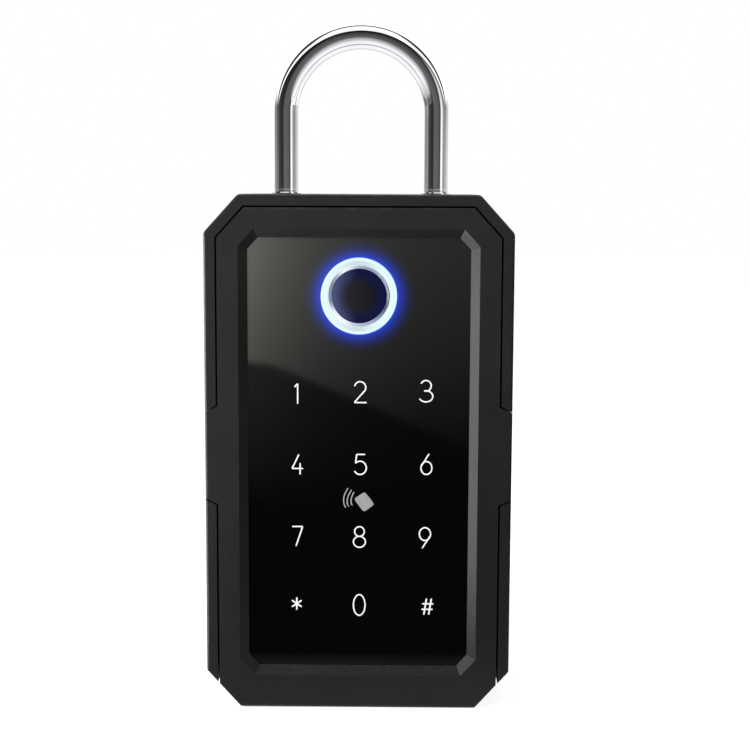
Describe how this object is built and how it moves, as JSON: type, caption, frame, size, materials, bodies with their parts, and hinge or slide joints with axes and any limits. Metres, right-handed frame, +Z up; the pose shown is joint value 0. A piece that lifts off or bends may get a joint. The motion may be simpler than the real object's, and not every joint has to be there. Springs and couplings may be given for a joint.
{
  "type": "smart key box",
  "caption": "Portable smart key box with a keypad door hinged at its lower edge, a fingerprint reader, a motor bolt and a lift-out shackle.",
  "frame": {"origin": "middle of the flat base, with the box standing on it and its shackle up", "axes": "+X to the right seen from the front, +Y towards the back, +Z up along the shackle"},
  "size_m": [0.085, 0.045, 0.1924],
  "materials": {
    "case_paint": "fine textured matt black",
    "shackle_chrome": "polished",
    "keypad_glass": "polished black glass",
    "light_guide": "translucent white, lit blue",
    "bezel_metal": "turned satin",
    "reader_black": "gloss black",
    "steel": "zinc plated",
    "brass": "machined",
    "rubber": "moulded",
    "inner_plastic": "moulded",
    "board": "solder mask green",
    "cell_wrap": "printed sleeve"
  },
  "bodies": {
    "case": {"rear_case": "case_paint", "shackle_bushes": "shackle_chrome", "shackle_block": "steel", "strike_spacer": "steel", "strike_plate": "steel", "slide_screws": "steel", "strike_screws": "steel", "block_screws": "steel", "key_hook": "steel", "hook_screws": "steel", "hinge_pin": "steel"},
    "door": {"door_frame": "case_paint", "keypad_glass": "keypad_glass", "light_ring": "light_guide", "reader_bezel": "bezel_metal", "fingerprint_reader": "reader_black", "reader_module": "inner_plastic", "keypad_board": "board", "board_components": "inner_plastic", "buzzer": "inner_plastic", "battery_tub": "inner_plastic", "battery_cells": "cell_wrap", "battery_contacts": "steel", "door_back": "inner_plastic", "door_back_screws": "steel", "door_gasket": "rubber", "battery_cover": "inner_plastic", "cover_screws": "steel", "lock_base": "inner_plastic", "lock_case": "inner_plastic", "lock_screws": "steel", "gear_motor": "steel", "usb_socket": "steel"},
    "shackle": {"shackle": "shackle_chrome"},
    "shackle_slide": {"shackle_slide": "steel"},
    "lock_bolt": {"lock_bolt": "steel"},
    "drive_pinion": {"drive_pinion": "brass"},
    "pairing_button": {"pairing_button": "inner_plastic"}
  },
  "joints": [
    {"name": "door_hinge", "type": "hinge", "parent": "case", "child": "door", "pos_m": [0, -0.0065, 0.004], "axis": [1, 0, 0], "range_deg": [0, 90]},
    {"name": "shackle_lift", "type": "slide", "parent": "case", "child": "shackle", "axis": [0, 0, 1], "range_m": [0, 0.033]},
    {"name": "shackle_release", "type": "slide", "parent": "case", "child": "shackle_slide", "axis": [1, 0, 0], "range_m": [0, 0.005]},
    {"name": "bolt_throw", "type": "slide", "parent": "door", "child": "lock_bolt", "axis": [0, 0, 1], "range_m": [0, 0.006]},
    {"name": "pinion_spin", "type": "hinge", "parent": "door", "child": "drive_pinion", "pos_m": [0.0052, 0, 0.1135], "axis": [0, 1, 0], "range_deg": [-2, 75]},
    {"name": "button_press", "type": "slide", "parent": "door", "child": "pairing_button", "axis": [0, -1, 0], "range_m": [0, 0.0006], "stiffness_N_per_m": 400}
  ],
  "couplings": [
    {"joint": "pinion_spin", "follows": "bolt_throw", "rad_per_m": 208.33}
  ]
}
